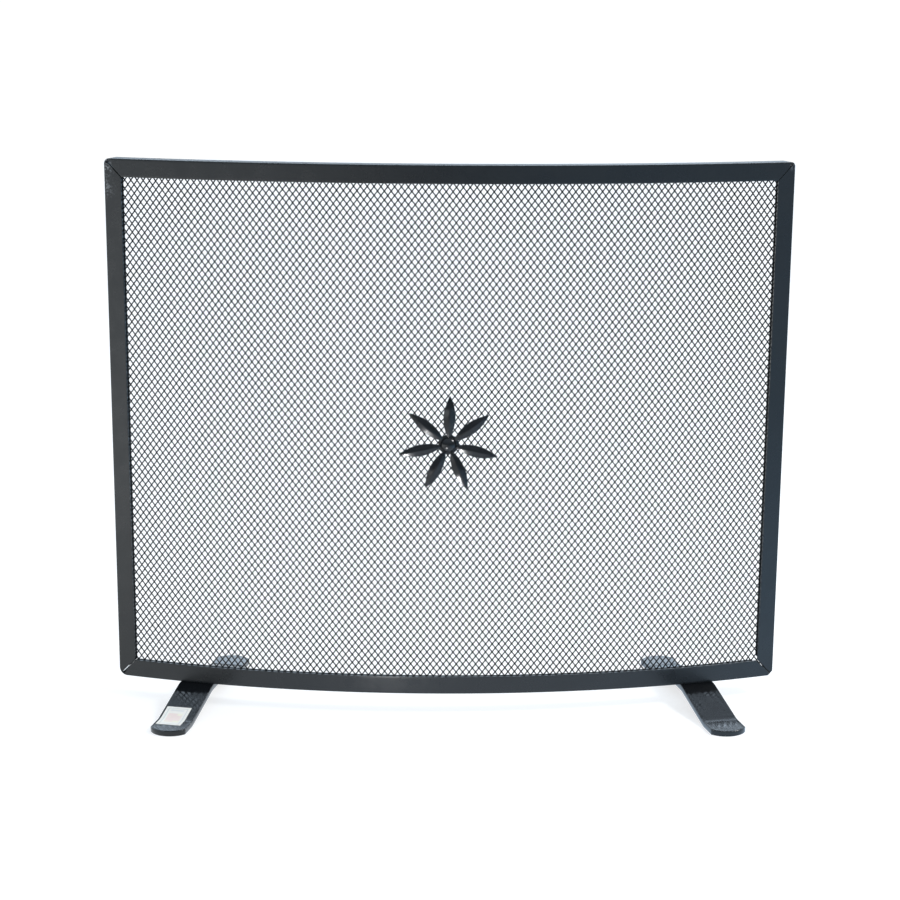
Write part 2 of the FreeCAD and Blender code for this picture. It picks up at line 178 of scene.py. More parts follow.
class Tree(Nodes):
    """The node tree of a new material, with its shader and the object's own coordinates."""

    def __init__(self, name):
        self.material = bpy.data.materials.new(name)
        self.material.use_nodes = True
        super().__init__(self.material.node_tree)
        self.nodes.clear()
        self.out = self.nodes.new("ShaderNodeOutputMaterial")
        self.shader = self.nodes.new("ShaderNodeBsdfPrincipled")
        self.link(self.shader.outputs[0], self.out.inputs[0])
        self.coordinates = self.nodes.new("ShaderNodeTexCoord").outputs["Object"]

    def stretch(self, scale):
        node = self.nodes.new("ShaderNodeMapping")
        self.link(self.coordinates, node.inputs["Vector"])
        node.inputs["Scale"].default_value = scale
        return node.outputs[0]

    def noise(self, scale, detail=4.0, roughness=0.55, vector=None, distortion=0.0):
        node = self.nodes.new("ShaderNodeTexNoise")
        self.link(vector or self.coordinates, node.inputs["Vector"])
        node.inputs["Scale"].default_value = scale
        node.inputs["Detail"].default_value = detail
        node.inputs["Roughness"].default_value = roughness
        node.inputs["Distortion"].default_value = distortion
        return node.outputs[0]

    def mix(self, factor, a, b):
        node = self.nodes.new("ShaderNodeMix")
        node.data_type = "RGBA"
        self.set(node.inputs[0], factor)
        self.set(node.inputs[6], a)
        self.set(node.inputs[7], b)
        return node.outputs[2]

    def attribute(self, name):
        node = self.nodes.new("ShaderNodeAttribute")
        node.attribute_name = name
        return node.outputs["Fac"]

    def near(self, point, reach):
        """1 at a point of the object, falling to 0 at the reach."""
        node = self.nodes.new("ShaderNodeVectorMath")
        node.operation = "DISTANCE"
        self.link(self.coordinates, node.inputs[0])
        node.inputs[1].default_value = point
        return self.ramp(node.outputs["Value"], 0.0, reach, 1.0, 0.0)

    def bump(self, height, strength, distance):
        node = self.nodes.new("ShaderNodeBump")
        node.inputs["Strength"].default_value = strength
        node.inputs["Distance"].default_value = distance
        self.link(height, node.inputs["Height"])
        self.link(node.outputs[0], self.shader.inputs["Normal"])


# the colour of rubbed edges, also used for a painted highlight on the frame
RUBBED_STEEL_AND_SHEEN = (0.33, 0.34, 0.345)
EDGE_WEAR = 0.35


def paint(name, base, tint, roughness, grain=1.0, specular=0.5, spots=()):
    """Semi-gloss charcoal paint: slight colour drift, fine orange peel, rubbed edges, and spots of worn paint
    or of painted highlight.
    """
    t = Tree(name)
    drift = t.ramp(t.noise(7.0, 3.0), 0.35, 0.68)
    speckle = t.ramp(t.noise(420.0, 3.0, 0.6), 0.35, 0.7)
    colour = t.mix(drift, base, tint)
    colour = t.mix(t.math("MULTIPLY", speckle, 0.22), colour, tuple(2.2 * v for v in base))
    edge = t.math("MULTIPLY", t.attribute("edge"), EDGE_WEAR)
    scuff = t.ramp(t.noise(160.0, 6.0, 0.7, distortion=0.6), 0.46, 0.66)
    wear_and_sheen = t.math("MULTIPLY", edge, scuff)
    for point, reach, amount in spots:
        patch = t.math("MULTIPLY", t.near(point, reach), amount)
        patch = t.math("MULTIPLY", patch, t.ramp(t.noise(310.0, 5.0, 0.75), 0.5, 0.6))
        # a spot is worn paint or, on the frame's top right end, a painted highlight
        wear_and_sheen = t.math("MAXIMUM", wear_and_sheen, patch)
    colour = t.mix(wear_and_sheen, colour, RUBBED_STEEL_AND_SHEEN)
    t.link(colour, t.shader.inputs["Base Color"])
    rough = t.ramp(t.noise(38.0, 4.0, 0.6), 0.3, 0.72, roughness - 0.05, roughness + 0.07)
    rough = t.math("ADD", rough, t.math("MULTIPLY", wear_and_sheen, 0.12))
    t.link(rough, t.shader.inputs["Roughness"])
    t.shader.inputs["Specular IOR Level"].default_value = specular
    peel = t.noise(330.0, 2.0, 0.5)
    sag = t.noise(26.0, 2.0, 0.5)
    height = t.math("ADD", peel, t.math("MULTIPLY", sag, 2.4))
    t.bump(height, 0.22 * grain, 0.00035)
    return t.material


def steel(name, base, roughness, metallic=1.0):
    """Zinc-plated or bare steel with fine streaks and dull patches."""
    t = Tree(name)
    streaks = t.noise(240.0, 4.0, 0.6, t.stretch((1.0, 1.0, 6.0)))
    patches = t.noise(60.0, 4.0, 0.6)
    colour = t.mix(t.ramp(patches, 0.35, 0.7), base, tuple(0.62 * v for v in base))
    t.link(colour, t.shader.inputs["Base Color"])
    t.shader.inputs["Metallic"].default_value = metallic
    streak_part = t.ramp(streaks, 0.3, 0.7, -0.07, 0.08)
    patch_part = t.ramp(patches, 0.3, 0.7, roughness, roughness + 0.14)
    rough = t.math("ADD", streak_part, patch_part)
    t.link(rough, t.shader.inputs["Roughness"])
    t.bump(streaks, 0.2, 0.0002)
    return t.material


# ---------------------------------------------------------------- frame of steel angle
ROUNDING_STEPS = 5
FLAT_STEP = 2.6 * MM                   # spacing of the section's points along its flat sides


def rounded_section(corners):
    """Points round a section of (across, depth, radius) corners, and 1 on each rounded edge."""
    points, edge = [], []
    count = len(corners)
    for i, (u, d, radius) in enumerate(corners):
        here = np.array([u, d])
        back = np.array(corners[i - 1][:2]) - here
        ahead = np.array(corners[(i + 1) % count][:2]) - here
        back_unit, ahead_unit = back / np.linalg.norm(back), ahead / np.linalg.norm(ahead)
        centre = here + (back_unit + ahead_unit) * radius
        for k in range(ROUNDING_STEPS + 1):
            turn = k / ROUNDING_STEPS * math.pi / 2
            point = centre - ahead_unit * radius * math.cos(turn) - back_unit * radius * math.sin(turn)
            points.append(point)
            edge.append(math.sin(2 * turn))
        # the flat stretch up to the next corner
        start = here + ahead_unit * radius
        next_radius = corners[(i + 1) % count][2]
        length = np.linalg.norm(ahead) - radius - next_radius
        pieces = max(1, int(round(length / FLAT_STEP)))
        for k in range(1, pieces):
            points.append(start + ahead_unit * length * k / pieces)
            edge.append(0.0)
    return np.array(points), np.array(edge)


ANGLE_SECTION = rounded_section([
    (0.0, 0.0, 0.6 * MM),
    (LEG, 0.0, 0.5 * MM),
    (LEG, WALL, 0.5 * MM),
    (WALL, WALL, 2.0 * MM),
    (WALL, LEG, 0.5 * MM),
    (0.0, LEG, 0.5 * MM),
])
STRIP_INNER, STRIP_OUTER = LEG - 0.1 * MM, 12.7 * MM
STRIP_FRONT, STRIP_BACK = 6.4 * MM, 8.9 * MM
STRIP_SECTION = rounded_section([
    (STRIP_OUTER, STRIP_FRONT, 0.3 * MM),
    (STRIP_INNER, STRIP_FRONT, 0.3 * MM),
    (STRIP_INNER, STRIP_BACK, 0.4 * MM),
    (STRIP_OUTER, STRIP_BACK, 0.4 * MM),
])

# Each corner of the frame was cut, welded and ground by hand, so each one differs. For each (side, level):
# the rounding of the outer corner, whether it is a flat chamfer, and how far the rail, the stile and the
# strips stop short of the mitre at given distances from the outer side (distance, gap) in millimetres.
CORNERS = {
    (-1, 1): dict(rounding=7.5, flat=False, rail=((0, 2.6), (8, 2.2), (26, 1.6)),
                  stile=((0, 4.2), (4, 2.6), (9, 1.3), (26, 0.9)), strip=((0, 0.5), (26, 0.5))),
    (1, 1): dict(rounding=6.0, flat=False, rail=((0, 8.0), (4, 5.0), (8, 1.6), (26, 1.2)),
                 stile=((0, 0.6), (26, 0.6)), strip=((0, 0.5), (26, 0.5))),
    (-1, -1): dict(rounding=12.0, flat=False, rail=((0, 4.6), (15, 4.0), (17, 1.3), (26, 1.2)),
                   stile=((0, 2.2), (15, 2.2), (17, 0.8), (26, 0.8)), strip=((0, 0.5), (26, 0.5))),
    (1, -1): dict(rounding=7.0, flat=True, rail=((0, 3.6), (5, 2.4), (12, 2.0), (14, 3.0), (26, 3.4)),
                  stile=((0, 1.8), (5, 1.2), (12, 1.0), (14, 2.2), (26, 2.6)), strip=((0, 9.0), (26, 9.0))),
}


def corner_inset(distance, corner):
    """How far the outer side is cut back at this distance from the corner."""
    r = corner["rounding"] * MM
    t = np.clip(distance, 0.0, r)
    if corner["flat"]:
        return r - t
    return r - np.sqrt(np.maximum(r * r - (r - t) ** 2, 0.0))


def mitre_end(across, corner, member):
    """How far from the corner a line at this distance across the section ends."""
    end = across.copy()
    for _ in range(40):
        end = corner_inset(end, corner) * (1 - across / LEG) + across
    table = np.array(corner[member]) * MM
    gap = np.interp(end, table[:, 0], table[:, 1])
    return end + gap / math.sqrt(2)


END_ZONE = 42 * MM
END_STEPS = np.array([0.0, 0.03, 0.07, 0.12, 0.18, 0.25, 0.33, 0.42, 0.52, 0.64, 0.8])
MIDDLE_STATIONS = 150
# a rail is measured straight along its tangent up to the first distance, and round the bow from the second
STRAIGHT_END, CURVED_FROM = 40 * MM, 60 * MM


def member_stations(length, first, last):
    """Distances along a member for each section line: dense near both mitres, even between them."""
    near = first[None, :] + (END_ZONE - first[None, :]) * END_STEPS[:, None]
    far = length - (last[None, :] + (END_ZONE - last[None, :]) * END_STEPS[::-1, None])
    middle = np.linspace(END_ZONE, length - END_ZONE, MIDDLE_STATIONS)[:, None] * np.ones(len(first))[None, :]
    return np.concatenate([near, middle, far])


def member(name, node, kind, sign, section, ends, slot, material):
    """A rail (kind "rail", sign = level) or a stile (kind "stile", sign = side), or its strip."""
    outline, on_edge = section
    across, depth = outline[:, 0], outline[:, 1]
    if kind == "rail":
        corners = CORNERS[(-1, sign)], CORNERS[(1, sign)]
        length = 2 * END_ANGLE * FACE_RADIUS
    else:
        corners = CORNERS[(sign, -1)], CORNERS[(sign, 1)]
        length = TOP - BOTTOM
    first, last = (mitre_end(across, corner, ends or kind) for corner in corners)
    along = member_stations(length, first, last)
    inset = corner_inset(along, corners[0]) + corner_inset(length - along, corners[1])
    shifted = across[None, :] + inset * (1 - across[None, :] / LEG)
    deep = np.broadcast_to(depth[None, :], along.shape)
    if kind == "rail":
        height = (TOP - shifted) if sign > 0 else (BOTTOM + shifted)
        # near an end, distances are measured along the tangent there, as the mitre is
        from_end = np.minimum(along, length - along)
        straight = smooth(-from_end, -CURVED_FROM, -STRAIGHT_END)
        angle = END_ANGLE - np.arcsin(from_end / (FACE_RADIUS - deep)) * straight \
            - (from_end / FACE_RADIUS) * (1 - straight)
        angle = angle * np.where(along < length / 2, -1.0, 1.0)
        points = place(deep, angle, height)
    else:
        corner_point = place(0.0, sign * END_ANGLE, 0.0)
        inward = -sign * np.array([math.cos(END_ANGLE), math.sin(sign * END_ANGLE), 0.0])
        back = np.array([-math.sin(sign * END_ANGLE), math.cos(END_ANGLE), 0.0])
        points = corner_point + inward * shifted[..., None] + back * deep[..., None]
        points[..., 2] = BOTTOM + along
    rows, columns = along.shape
    quads = grid_quads(rows, columns, wrap_columns=True)
    start_cap = list(range(columns))
    end_cap = [(rows - 1) * columns + j for j in range(columns)]
    obj = make_mesh(name, points, quads, polygons=[start_cap[::-1], end_cap])
    flip_if_inside_out(obj)
    add_value(obj, "edge", np.broadcast_to(on_edge[None, :], along.shape))
    sharpen(obj, 50)
    return finish_piece(obj, material, slot, node)


def flip_if_inside_out(obj):
    """Turns the faces outward if the closed mesh has a negative volume."""
    mesh = obj.data
    mesh.calc_loop_triangles()
    corners = np.empty(len(mesh.loop_triangles) * 3, np.int32)
    mesh.loop_triangles.foreach_get("vertices", corners)
    points = np.empty(len(mesh.vertices) * 3, np.float32)
    mesh.vertices.foreach_get("co", points)
    a, b, c = points.reshape(-1, 3)[corners.reshape(-1, 3)].transpose(1, 0, 2).astype(float)
    if np.einsum("ij,ij->i", a, np.cross(b, c)).sum() < 0:
        mesh.flip_normals()


# ---------------------------------------------------------------- woven wire mesh
WIRE_RADIUS = 0.95 * MM
COLUMN_STEP = 4.695 * MM
ROW_STEP = 6.044 * MM
KNOT_ALONG, KNOT_HEIGHT = -63.7 * MM, 72.5 * MM    # where one of the knots is
MESH_DEPTH = 4.8 * MM
MESH_MARGIN = 4.9 * MM
HOOK_REACH = 0.6 * MM
HOOK_HEIGHT = 1.1 * MM
WIRE_SIDES = 5
MESH_BANDS = 5
WEAVE_JITTER = 0.05 * MM


def wire_mesh(material):
    """Upright wires, each zigzagging between two columns and hooked round its neighbours."""
    half_arc = END_ANGLE * FACE_RADIUS - MESH_MARGIN
    first = math.ceil((-half_arc - KNOT_ALONG) / COLUMN_STEP)
    last = math.floor((half_arc - KNOT_ALONG) / COLUMN_STEP)
    lowest = math.ceil((BOTTOM + MESH_MARGIN - KNOT_HEIGHT) / ROW_STEP)
    highest = math.floor((TOP - MESH_MARGIN - KNOT_HEIGHT) / ROW_STEP)
    level = np.arange(lowest, highest + 1)
    slope = COLUMN_STEP / ROW_STEP
    bands = np.array_split(np.arange(first, last), MESH_BANDS)
    for index, wires in enumerate(bands):
        points, quads = [], []
        offset = 0
        for k in wires:
            at_right = ((level + k) % 2).astype(bool)
            column = KNOT_ALONG + (k + at_right) * COLUMN_STEP
            out = np.where(at_right, 1.0, -1.0)
            jitter = rng.normal(0, WEAVE_JITTER, (len(level), 2))
            along = np.empty((len(level), 3))
            depth = np.empty((len(level), 3))
            height = np.empty((len(level), 3))
            layer = np.where(at_right, -1.0, 1.0) * WIRE_RADIUS
            middle = KNOT_HEIGHT + level * ROW_STEP + jitter[:, 1]
            along[:, 0] = column - out * HOOK_HEIGHT * slope
            along[:, 1] = column + out * HOOK_REACH
            along[:, 2] = along[:, 0]
            along += jitter[:, :1]
            depth[:, 0], depth[:, 1], depth[:, 2] = layer, 0.0, -layer
            height[:, 0], height[:, 1], height[:, 2] = middle - HOOK_HEIGHT, middle, middle + HOOK_HEIGHT
            path = np.stack([along.ravel(), depth.ravel() + MESH_DEPTH, height.ravel()], -1)[1:-1]
            tangent = np.gradient(path, axis=0)
            tangent /= np.linalg.norm(tangent, axis=1, keepdims=True)
            side = np.cross(tangent, [0.0, 1.0, 0.0])
            side /= np.linalg.norm(side, axis=1, keepdims=True)
            front = np.cross(side, tangent)
            turn = np.arange(WIRE_SIDES) * 2 * math.pi / WIRE_SIDES
            ring = (side[:, None, :] * np.cos(turn)[None, :, None]
                    + front[:, None, :] * np.sin(turn)[None, :, None])
            local = path[:, None, :] + ring * WIRE_RADIUS
            world_points = place(local[..., 1], local[..., 0] / FACE_RADIUS, local[..., 2])
            points.append(world_points.reshape(-1, 3))
            quads.append(grid_quads(len(path), WIRE_SIDES, wrap_columns=True) + offset)
            offset += len(path) * WIRE_SIDES
        obj = make_mesh("mesh_wires_%d" % (index + 1), np.concatenate(points), np.concatenate(quads))
        finish_piece(obj, material, "mesh_wire", *(["mesh_panel"] if index == 0 else []))
        obj.visible_shadow = False


# ---------------------------------------------------------------- feet
FOOT_TURN = math.radians(12.5)
FOOT_PLACE = math.radians(14.5)
FOOT_HALF_WIDTH = 25.4 * MM
FOOT_FRONT, FOOT_BACK = 156.0 * MM, 176.0 * MM     # reach each way from the middle of the rail
FOOT_END_RADIUS = 31.0 * MM
FOOT_UNDER, FOOT_OVER = 21.1 * MM, 29.0 * MM       # heights of the level middle
TOE_DROP = 21.0 * MM
TOE_FLAT = 45.0 * MM
MIDDLE_FLAT = 18.0 * MM                            # the bar is level for this far each way
BEND = 9.0 * MM                                    # length over which each bend is spread
BEND_SAMPLES = 7
TOE_LEVEL = 0.98                                   # share of the drop that counts as a toe
FOOT_ROWS, FOOT_COLUMNS = 180, 17
FOOT_RIM = 1.2 * MM
FOOT_LOW_RIM = 0.5 * MM


def foot_to_world(points, side):
    """From a foot's own axes (ahead, to its right seen from the toe's side, up) to the scene."""
    crossing = place(LEG / 2, side * FOOT_PLACE, 0.0)
    ahead = np.array([math.sin(side * FOOT_TURN), -math.cos(FOOT_TURN), 0.0])
    across = np.array([math.cos(FOOT_TURN), math.sin(side * FOOT_TURN), 0.0])
    up = np.array([0.0, 0.0, 1.0])
    return crossing + points[..., :1] * ahead + points[..., 1:2] * across + points[..., 2:] * up


def toe_lowering(ahead):
    """How far the bar is bent down at a distance along the foot, with both bends softened."""
    total = 0.0
    for offset in np.linspace(-BEND / 2, BEND / 2, BEND_SAMPLES):
        front = (ahead + offset - MIDDLE_FLAT) / (FOOT_FRONT - TOE_FLAT - MIDDLE_FLAT)
        back = (-ahead + offset - MIDDLE_FLAT) / (FOOT_BACK - TOE_FLAT - MIDDLE_FLAT)
        total = total + np.clip(np.maximum(front, back), 0.0, 1.0)
    return TOE_DROP * total / BEND_SAMPLES


def underside_lowering(ahead):
    """The same for the underside, which is also set down to the floor under the toes."""
    drop = toe_lowering(ahead)
    return drop + np.where(drop > TOE_DROP * TOE_LEVEL, FOOT_UNDER - TOE_DROP, 0.0)


def foot_grid(inset):
    """Points of a foot's plan, inset from its outline: rows from back to front, columns across."""
    y = np.linspace(-1.0, 1.0, FOOT_COLUMNS) * (FOOT_HALF_WIDTH - inset)
    radius = FOOT_END_RADIUS - inset
    front = FOOT_FRONT - FOOT_END_RADIUS + np.sqrt(radius ** 2 - y ** 2)
    back = -FOOT_BACK + FOOT_END_RADIUS - np.sqrt(radius ** 2 - y ** 2)
    t = np.linspace(0.0, 1.0, FOOT_ROWS)[:, None]
    x = back[None, :] * (1 - t) + front[None, :] * t
    return x, np.broadcast_to(y[None, :], x.shape)


def border(grid):
    """The values round the border of a grid, once round."""
    return np.concatenate([grid[0, :-1], grid[:-1, -1], grid[-1, :0:-1], grid[:0:-1, 0]])


def foot_rings():
    """The rim's rings from the top face round to the underside: (inset, height, how rubbed the edge is)."""
    rings = []
    for turn in np.linspace(0.0, math.pi / 2, 5):
        height = FOOT_OVER - FOOT_RIM * (1 - math.cos(turn))
        rings.append((FOOT_RIM * (1 - math.sin(turn)), height, math.sin(2 * turn)))
    for turn in np.linspace(0.0, math.pi / 2, 3):
        height = FOOT_UNDER + FOOT_LOW_RIM * (1 - math.sin(turn))
        rings.append((FOOT_LOW_RIM * (1 - math.cos(turn)), height, 0.3 * math.sin(2 * turn)))
    return rings


def foot_bar(name, node, side, material):
    """A flat bar, level under the rail and bent down both ways to level toes, with a rounded rim."""
    rows, columns = FOOT_ROWS, FOOT_COLUMNS
    rings = foot_rings()
    x, y = foot_grid(rings[0][0])
    points = [np.stack([x, y, FOOT_OVER - toe_lowering(x)], -1).reshape(-1, 3)]
    quads = [grid_quads(rows, columns)]
    rub = [np.zeros(rows * columns)]
    last_ring = border(np.arange(rows * columns).reshape(rows, columns))
    count = rows * columns
    for inset, height, edge in rings[1:]:
        grid_x, grid_y = foot_grid(inset)
        x, y = border(grid_x), border(grid_y)
        lowering = underside_lowering(x) if height < FOOT_OVER - FOOT_RIM else toe_lowering(x)
        points.append(np.stack([x, y, height - lowering], -1))
        ring = count + np.arange(len(x))
        quads.append(np.stack([last_ring, ring, np.roll(ring, -1), np.roll(last_ring, -1)], -1))
        rub.append(np.full(len(x), edge))
        last_ring = ring
        count += len(x)
    # the underside reuses the last ring as its border
    x, y = foot_grid(rings[-1][0])
    inner = np.zeros((rows, columns), bool)
    inner[1:-1, 1:-1] = True
    under_index = np.full((rows, columns), -1)
    under_index[inner] = count + np.arange(inner.sum())
    border_rows = border(np.repeat(np.arange(rows)[:, None], columns, 1))
    border_columns = border(np.repeat(np.arange(columns)[None, :], rows, 0))
    under_index[border_rows, border_columns] = last_ring
    points.append(np.stack([x, y, FOOT_UNDER - underside_lowering(x)], -1)[inner])
    rub.append(np.zeros(inner.sum()))
    a, b = under_index[:-1, :-1], under_index[:-1, 1:]
    c, d = under_index[1:, 1:], under_index[1:, :-1]
    quads.append(np.stack([a, d, c, b], -1).reshape(-1, 4))
    obj = make_mesh(name, foot_to_world(np.concatenate(points), side), np.concatenate(quads))
    flip_if_inside_out(obj)
    add_value(obj, "edge", np.concatenate(rub))
    sharpen(obj, 60)
    return finish_piece(obj, material, "foot_paint", node)


LABEL_HALF_WIDTH = 18.0 * MM
LABEL_SHIFT = -3.8 * MM
LABEL_START, LABEL_END = 80.0 * MM, 132.0 * MM
LABEL_THICKNESS = 0.28 * MM
LABEL_RIPPLE = 0.06 * MM
LABEL_GAP = 0.02 * MM                              # between the paper and the paint


def skirt_quads(grid):
    """Quads that join the border of a grid of points to that of a second grid stored after it."""
    loop = border(grid)
    return np.stack([loop, loop + grid.size, np.roll(loop, -1) + grid.size, np.roll(loop, -1)], -1)


def sheet_quads(rows, columns):
    """Quads of a closed sheet: a front grid, a back grid stored after it, and the skirt between them."""
    faces = grid_quads(rows, columns)
    grid = np.arange(rows * columns).reshape(rows, columns)
    return np.concatenate([faces, faces[:, ::-1] + grid.size, skirt_quads(grid)])


def paper_label(material):
    """The label on the left foot: a thin sheet that follows the bar, with a plain printed border."""
    rows, columns = 60, 24
    u, v = np.meshgrid(np.linspace(0, 1, rows), np.linspace(0, 1, columns), indexing="ij")
    x = LABEL_START + (LABEL_END - LABEL_START) * u
    y = LABEL_SHIFT + LABEL_HALF_WIDTH * (2 * v - 1)
    base = FOOT_OVER - toe_lowering(x)
    wave = LABEL_RIPPLE * np.sin(9 * u + 4 * v) * np.sin(7 * v + 1)
    top = np.stack([x, y, base + LABEL_THICKNESS + np.abs(wave)], -1)
    low = np.stack([x, y, base + LABEL_GAP], -1)
    points = foot_to_world(np.concatenate([top.reshape(-1, 3), low.reshape(-1, 3)]), -1)
    obj = make_mesh("paper_label", points, sheet_quads(rows, columns))
    flip_if_inside_out(obj)
    add_value(obj, "label_along", np.concatenate([u.ravel(), u.ravel()]))
    add_value(obj, "label_across", np.concatenate([v.ravel(), v.ravel()]))
    sharpen(obj, 40)
    return finish_piece(obj, material, "label_paper", "foot_label")


# ---------------------------------------------------------------- flower
FLOWER_HEIGHT = 396.6 * MM
FLOWER_FACE_DEPTH = WALL               # the flower lies on the front of the mesh
FLOWER_STRETCH = 1.022                 # it is a little wider than it is high
FLOWER_SHIFT = 1.8 * MM                # and a little left of the middle
PETAL_COUNT = 7
PETAL_TURN = 1.6                       # of the whole flower, in degrees
PETAL_LEANS = (0.0, -0.9, -0.5, 1.8, -0.3, -0.3, 0.0)
# half widths of a petal at distances from the flower's middle, in millimetres
PETAL_WIDTHS = ((11.4, 1.9), (14.0, 3.1), (18.0, 4.7), (24.0, 6.5), (30.0, 7.6), (36.0, 8.2), (41.0, 8.3),
                (47.0, 7.8), (53.0, 6.5), (58.0, 5.0), (62.0, 3.6), (65.5, 2.3), (68.0, 1.25), (69.4, 0.4))
PETAL_WIDEST = 8.3 * MM
PETAL_SHEET = 1.2 * MM
PETAL_FOLD = 2.4 * MM                  # how far the widest point's sides lie below the fold
FOLD_SOFTNESS = 0.9 * MM
PETAL_ARCH = 3.4 * MM
PETAL_RIM = 0.5 * MM
HUB_THICKNESS = 1.5 * MM


def flower_to_world(points):
    """From the flower's own axes (right, up the petal, towards the room) to the scene."""
    centre = place(FLOWER_FACE_DEPTH, 0.0, FLOWER_HEIGHT)
    to_right = FLOWER_STRETCH * points[..., 0] - FLOWER_SHIFT
    return centre + np.stack([to_right, -points[..., 2], points[..., 1]], -1)


def leaf(name, node, index, material):
    """A pointed leaf of sheet with a soft fold along the middle and a gentle arch."""
    rows, columns = 64, 25
    table = np.array(PETAL_WIDTHS) * MM
    start, tip = table[0, 0], table[-1, 0]
    r = start + (tip - start) * np.linspace(0, 1, rows) ** 0.9
    half = np.interp(r, table[:, 0], table[:, 1])
    half[2:-2] = np.convolve(half, np.ones(5) / 5, "valid")
    middle, reach = (start + tip) / 2, (tip - start) / 2
    arch = PETAL_ARCH * (1 - ((r - middle) / reach) ** 2)
    v = np.sin(np.linspace(-1, 1, columns) * math.pi / 2)
    across = half[:, None] * v[None, :]
    along = np.broadcast_to(r[:, None], across.shape)
    ridge = np.sqrt(across ** 2 + FOLD_SOFTNESS ** 2) - FOLD_SOFTNESS
    lift = HUB_THICKNESS + arch[:, None] - PETAL_FOLD / PETAL_WIDEST * ridge
    rim = np.minimum(1.0, (half[:, None] - np.abs(across)) / PETAL_RIM)
    rounding = PETAL_RIM * (1 - np.sqrt(np.clip(1 - (1 - rim) ** 2, 0, 1)))
    front = np.stack([across, along, lift + PETAL_SHEET - rounding], -1)
    back = np.stack([across, along, np.maximum(lift, 0.05 * MM)], -1)
    points = np.concatenate([front.reshape(-1, 3), back.reshape(-1, 3)])
    turn = math.radians(PETAL_TURN + PETAL_LEANS[index] + index * 360 / PETAL_COUNT)
    x = points[:, 0] * math.cos(turn) + points[:, 1] * math.sin(turn)
    y = -points[:, 0] * math.sin(turn) + points[:, 1] * math.cos(turn)
    world_points = flower_to_world(np.stack([x, y, points[:, 2]], -1))
    obj = make_mesh(name, world_points, sheet_quads(rows, columns))
    flip_if_inside_out(obj)
    add_value(obj, "edge", np.concatenate([(1 - rim).ravel(), (1 - rim).ravel()]))
    sharpen(obj, 55)
    return finish_piece(obj, material, "flower_paint", node)


TURNED_SIDES = 64


def turned(name, profile, material, node):
    """A piece of the flower turned about its axis from a profile of (radius, height) points."""
    sides = TURNED_SIDES
    turn = np.arange(sides) * 2 * math.pi / sides
    profile = np.array(profile)
    ring = np.stack([
        profile[:, None, 0] * np.cos(turn)[None, :],
        profile[:, None, 0] * np.sin(turn)[None, :],
        np.broadcast_to(profile[:, 1:2], (len(profile), sides)),
    ], -1)
    caps = [list(range(sides)), list(range((len(profile) - 1) * sides, len(profile) * sides))[::-1]]
    quads = grid_quads(len(profile), sides, wrap_columns=True)
    obj = make_mesh(name, flower_to_world(ring), quads, polygons=caps)
    flip_if_inside_out(obj)
    add_value(obj, "edge", np.zeros(len(profile) * sides))
    sharpen(obj, 45)
    return finish_piece(obj, material, "flower_paint", node)


DOME_RADIUS, DOME_HEIGHT = 11.3 * MM, 7.5 * MM
SHANK_RADIUS, SHANK_LENGTH = 3.0 * MM, 15.0 * MM
HUB_RADIUS, HUB_HOLE_RADIUS = 14.0 * MM, 3.2 * MM


def dome_profile():
    """The domed head with a short straight rim, and its shank back through the mesh."""
    ball = (DOME_RADIUS ** 2 + DOME_HEIGHT ** 2) / (2 * DOME_HEIGHT)
    full = math.asin(DOME_RADIUS / ball)
    profile = []
    for t in np.linspace(0.02, 0.97, 22):
        height = HUB_THICKNESS + DOME_HEIGHT - ball * (1 - math.cos(full * t))
        profile.append((ball * math.sin(full * t), height))
    shank_end = HUB_THICKNESS - SHANK_LENGTH
    return profile + [
        (DOME_RADIUS, HUB_THICKNESS + 0.25 * MM),
        (DOME_RADIUS - 0.1 * MM, HUB_THICKNESS),
        (SHANK_RADIUS, HUB_THICKNESS),
        (SHANK_RADIUS, shank_end + 0.5 * MM),
        (SHANK_RADIUS - 0.5 * MM, shank_end),
    ]


def hub_profile():
    """The disc behind the dome, with its rim rounded off."""
    return [
        (HUB_HOLE_RADIUS, HUB_THICKNESS),
        (HUB_RADIUS - 0.5 * MM, HUB_THICKNESS),
        (HUB_RADIUS - 0.15 * MM, HUB_THICKNESS - 0.15 * MM),
        (HUB_RADIUS, HUB_THICKNESS - 0.5 * MM),
        (HUB_RADIUS, 0.3 * MM),
        (HUB_RADIUS - 0.2 * MM, 0.0),
        (HUB_HOLE_RADIUS, 0.0),
    ]


# ---------------------------------------------------------------- corner welds
WELD_SIZE = 4.0 * MM
WELD_START, WELD_LENGTH = 9.4 * MM, 15.0 * MM      # along the outer legs, from the front face back
WELD_HOLLOW = 0.72                                 # how far the bead's face falls in between its two toes


